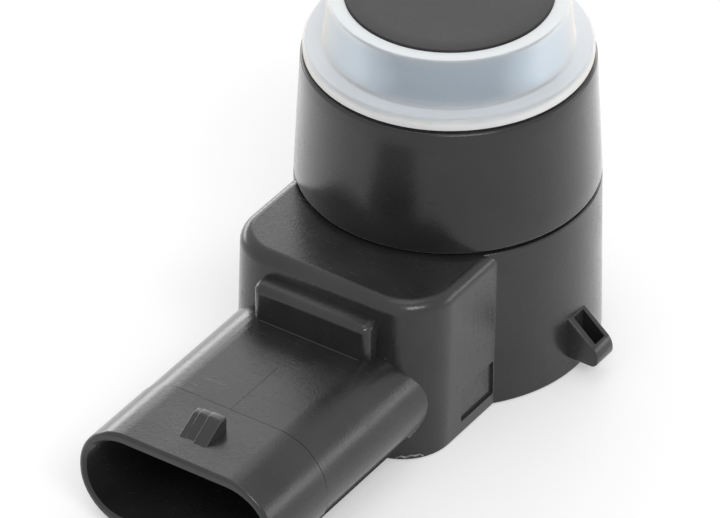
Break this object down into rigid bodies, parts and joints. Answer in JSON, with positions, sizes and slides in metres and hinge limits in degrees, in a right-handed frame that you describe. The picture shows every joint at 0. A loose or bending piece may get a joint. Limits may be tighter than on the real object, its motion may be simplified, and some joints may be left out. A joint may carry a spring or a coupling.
{
  "type": "parking sensor",
  "caption": "Ultrasonic bumper parking sensor: round metal sensing face in a soft ring on a black body with a side plug socket and snap lugs.",
  "frame": {"origin": "on the sensing axis, in the plane of the flat rear cover that the sensor stands on", "axes": "+Z along the sensing axis towards the sensing face, -Y along the plug socket towards its mouth, +X and -X towards the snap lugs"},
  "size_m": [0.0284, 0.0472, 0.0295],
  "materials": {
    "black_moulding": "satin black glass-filled moulding",
    "cover_black": "matt black",
    "potting_resin": "cast black resin",
    "seal_rubber": "matt",
    "milky_silicone": "translucent milky silicone",
    "grey_painted_metal": "satin dark grey paint on drawn aluminium",
    "piezo_ceramic": "fired ceramic",
    "damping_foam": "foam",
    "board_green": "solder mask",
    "chip_black": "moulded",
    "chip_ceramic": "fired ceramic",
    "ferrite_grey": "sintered",
    "copper_winding": "enamelled copper",
    "tinned_brass": "tin plated",
    "capacitor_can": "bright",
    "red_insulation": "satin"
  },
  "bodies": {
    "root": {"housing": "black_moulding", "rear_cover": "cover_black", "potting_compound": "potting_resin", "front_collar": "black_moulding", "collar_seal": "seal_rubber", "decoupling_ring": "milky_silicone", "transducer_cup": "grey_painted_metal", "piezo_disc": "piezo_ceramic", "damping_pad": "damping_foam", "cup_filler": "milky_silicone", "lead_wire_live": "red_insulation", "lead_wire_earth": "seal_rubber", "circuit_board": "board_green", "transformer_core": "ferrite_grey", "transformer_winding": "copper_winding", "storage_capacitor": "capacitor_can", "control_chip": "chip_black", "protection_diode": "chip_black", "filter_capacitor_1": "chip_ceramic", "filter_capacitor_2": "chip_ceramic", "filter_capacitor_3": "chip_ceramic", "resistor_1": "chip_black", "resistor_2": "chip_black", "resistor_3": "chip_black", "terminal_pin_1": "tinned_brass", "terminal_pin_2": "tinned_brass", "terminal_pin_3": "tinned_brass", "pin_carrier": "cover_black"}
  },
  "joints": []
}
